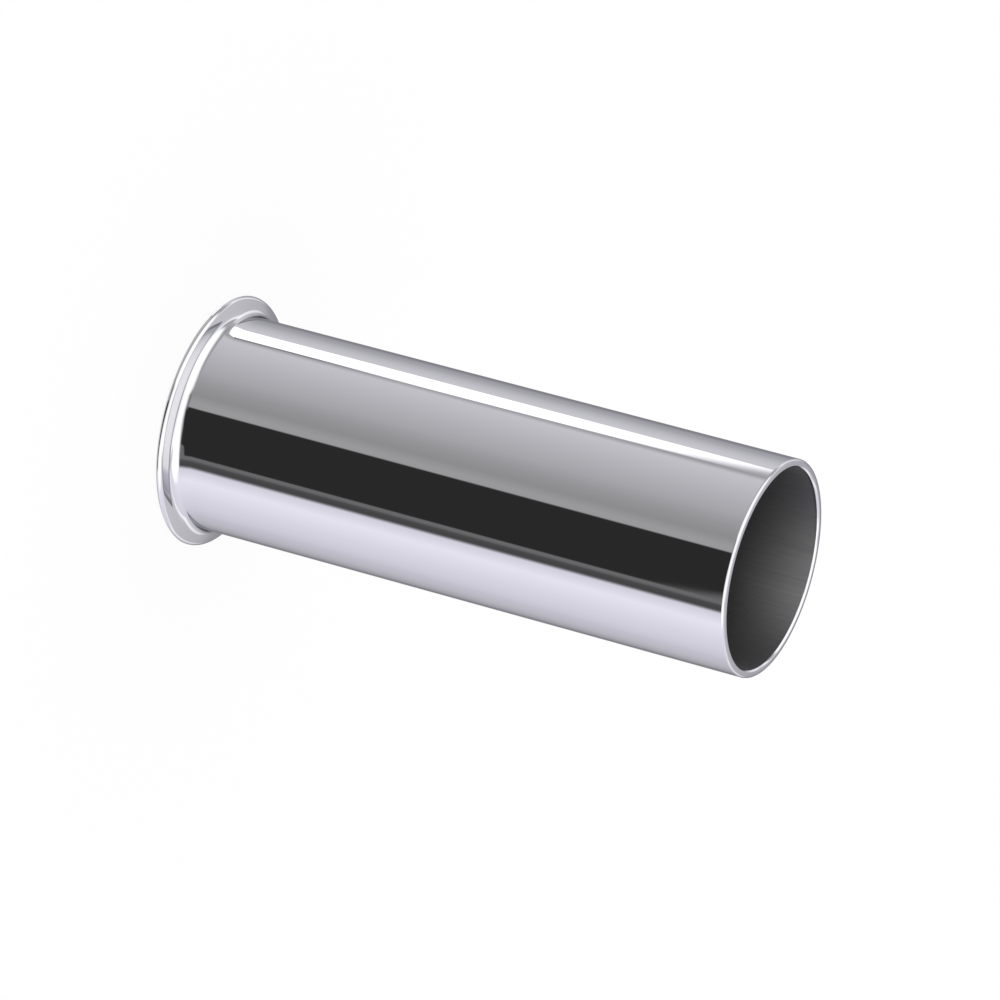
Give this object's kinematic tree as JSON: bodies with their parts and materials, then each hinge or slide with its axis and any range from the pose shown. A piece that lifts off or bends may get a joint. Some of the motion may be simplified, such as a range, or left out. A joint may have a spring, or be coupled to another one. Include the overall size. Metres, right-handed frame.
{
  "type": "basin waste tail pipe",
  "caption": "Straight thin-walled tube for a basin waste, plain at one end and flared at the other into a flat sealing flange.",
  "frame": {"origin": "centre of the flange's flat sealing face, on which the pipe stands", "axes": "+Z along the pipe's axis, from the flange towards the plain end; the pipe is round, so X and Y are alike"},
  "size_m": [0.0375, 0.0374, 0.09],
  "materials": {
    "chrome": "bright chrome plate outside, drawn metal in the bore"
  },
  "bodies": {
    "root": {"tail_pipe": "chrome"}
  },
  "joints": []
}
